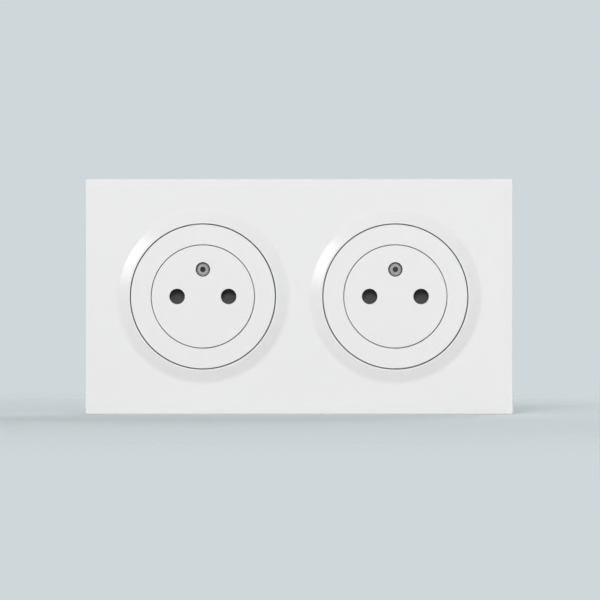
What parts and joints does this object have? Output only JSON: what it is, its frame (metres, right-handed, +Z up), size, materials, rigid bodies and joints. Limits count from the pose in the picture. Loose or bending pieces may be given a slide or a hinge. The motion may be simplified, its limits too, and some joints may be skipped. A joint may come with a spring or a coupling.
{
  "type": "double wall socket",
  "caption": "Flush mains socket with side-by-side round wells in one white plate; each well disc springs back flush, with shuttered pin holes and an earth pin.",
  "frame": {"origin": "on the wall plane, midway between the two socket centres", "axes": "+Z up, +X to the right as seen from the room, +Y into the wall, so the front faces -Y"},
  "size_m": [0.158, 0.0402, 0.087],
  "materials": {
    "gloss_white_plastic": "glossy moulded",
    "satin_white_plastic": "satin moulded",
    "natural_nylon": "moulded",
    "dark_grey_plastic": "moulded",
    "grey_housing_plastic": "fine moulded grain",
    "zinc_plated_steel": "zinc plated sheet",
    "zinc_plated_screws": "zinc plated",
    "spring_steel": "drawn",
    "nickel_plated_brass": "nickel plated",
    "brass": "stamped or machined"
  },
  "bodies": {
    "base": {"cover_plate": "gloss_white_plastic", "left_support_frame": "zinc_plated_steel", "left_socket_cover": "satin_white_plastic", "left_disc_spring": "spring_steel", "left_earth_pin": "nickel_plated_brass", "left_earth_strap": "brass", "left_live_contact": "brass", "left_neutral_contact": "brass", "left_live_terminal": "brass", "left_neutral_terminal": "brass", "left_earth_terminal": "brass", "left_terminal_screws": "zinc_plated_screws", "left_contact_cover": "grey_housing_plastic", "left_rear_housing": "grey_housing_plastic", "left_housing_screws": "zinc_plated_screws", "right_support_frame": "zinc_plated_steel", "right_socket_cover": "satin_white_plastic", "right_disc_spring": "spring_steel", "right_earth_pin": "nickel_plated_brass", "right_earth_strap": "brass", "right_live_contact": "brass", "right_neutral_contact": "brass", "right_live_terminal": "brass", "right_neutral_terminal": "brass", "right_earth_terminal": "brass", "right_terminal_screws": "zinc_plated_screws", "right_contact_cover": "grey_housing_plastic", "right_rear_housing": "grey_housing_plastic", "right_housing_screws": "zinc_plated_screws"},
    "left_disc_body": {"left_well_disc": "satin_white_plastic", "left_shutter_retainer": "natural_nylon", "left_shutter_spring": "spring_steel"},
    "left_shutter_body": {"left_shutter": "dark_grey_plastic"},
    "right_disc_body": {"right_well_disc": "satin_white_plastic", "right_shutter_retainer": "natural_nylon", "right_shutter_spring": "spring_steel"},
    "right_shutter_body": {"right_shutter": "dark_grey_plastic"}
  },
  "joints": [
    {"name": "left_disc_slide", "type": "slide", "parent": "base", "child": "left_disc_body", "axis": [0, 1, 0], "range_m": [0, 0.0146], "stiffness_N_per_m": 300, "springref_m": -0.01, "deforming": ["left_disc_spring"]},
    {"name": "left_shutter_slide", "type": "slide", "parent": "left_disc_body", "child": "left_shutter_body", "axis": [0, 0, -1], "range_m": [0, 0.0064], "stiffness_N_per_m": 100, "springref_m": -0.004, "deforming": ["left_shutter_spring"]},
    {"name": "right_disc_slide", "type": "slide", "parent": "base", "child": "right_disc_body", "axis": [0, 1, 0], "range_m": [0, 0.0146], "stiffness_N_per_m": 300, "springref_m": -0.01, "deforming": ["right_disc_spring"]},
    {"name": "right_shutter_slide", "type": "slide", "parent": "right_disc_body", "child": "right_shutter_body", "axis": [0, 0, -1], "range_m": [0, 0.0064], "stiffness_N_per_m": 100, "springref_m": -0.004, "deforming": ["right_shutter_spring"]}
  ]
}
